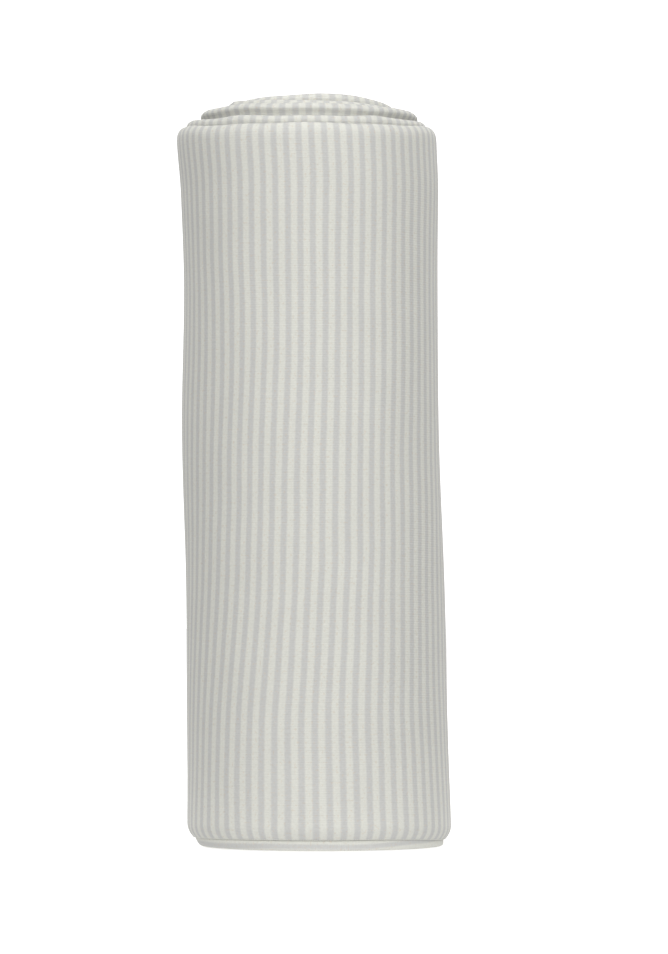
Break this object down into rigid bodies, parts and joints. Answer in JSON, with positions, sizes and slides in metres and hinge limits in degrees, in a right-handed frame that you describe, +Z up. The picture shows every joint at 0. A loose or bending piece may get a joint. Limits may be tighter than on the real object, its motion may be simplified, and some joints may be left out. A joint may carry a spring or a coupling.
{
  "type": "baby wrap sling",
  "caption": "Striped stretch jersey baby wrap folded, rolled up and stood on end, with its matching storage pouch under the outer turn and a free end that peels open.",
  "frame": {"origin": "on the floor under the middle of the roll", "axes": "+Z up along the roll's axis, -Y towards the front of the roll, whose free end closes at the back (+Y)"},
  "size_m": [0.1032, 0.1048, 0.3],
  "materials": {
    "striped_jersey": "matte",
    "overlock_thread": "matte",
    "patch_tape": "matte",
    "satin_tape": "satin"
  },
  "bodies": {
    "roll": {"wrap_inner_turns": "striped_jersey", "inner_edge_overlock": "overlock_thread", "tail_end_overlock": "overlock_thread", "wrap_outer_turn": "striped_jersey", "outer_edge_overlock": "overlock_thread", "storage_pouch": "striped_jersey", "pouch_side_seams": "overlock_thread", "pouch_hem_stitching": "overlock_thread"},
    "free_end_root": {"wrap_free_end_root": "striped_jersey", "free_end_root_overlock": "overlock_thread"},
    "free_end_middle": {"wrap_free_end_middle": "striped_jersey", "free_end_middle_overlock": "overlock_thread"},
    "free_end_tip": {"wrap_free_end_tip": "striped_jersey", "free_end_tip_overlock": "overlock_thread", "centre_patch": "patch_tape", "centre_patch_stitching": "overlock_thread", "care_label": "satin_tape"}
  },
  "joints": [
    {"name": "peel_root", "type": "hinge", "parent": "roll", "child": "free_end_root", "pos_m": [0.03296, 0.03964, 0.15], "axis": [0, 0, -1], "range_deg": [0, 60]},
    {"name": "peel_middle", "type": "hinge", "parent": "free_end_root", "child": "free_end_middle", "pos_m": [0.00487, 0.05198, 0.15], "axis": [0, 0, -1], "range_deg": [0, 60]},
    {"name": "peel_tip", "type": "hinge", "parent": "free_end_middle", "child": "free_end_tip", "pos_m": [-0.02535, 0.04673, 0.15], "axis": [0, 0, -1], "range_deg": [0, 60]}
  ],
  "couplings": [
    {"joint": "peel_middle", "follows": "peel_root", "ratio": 1},
    {"joint": "peel_tip", "follows": "peel_root", "ratio": 1}
  ]
}
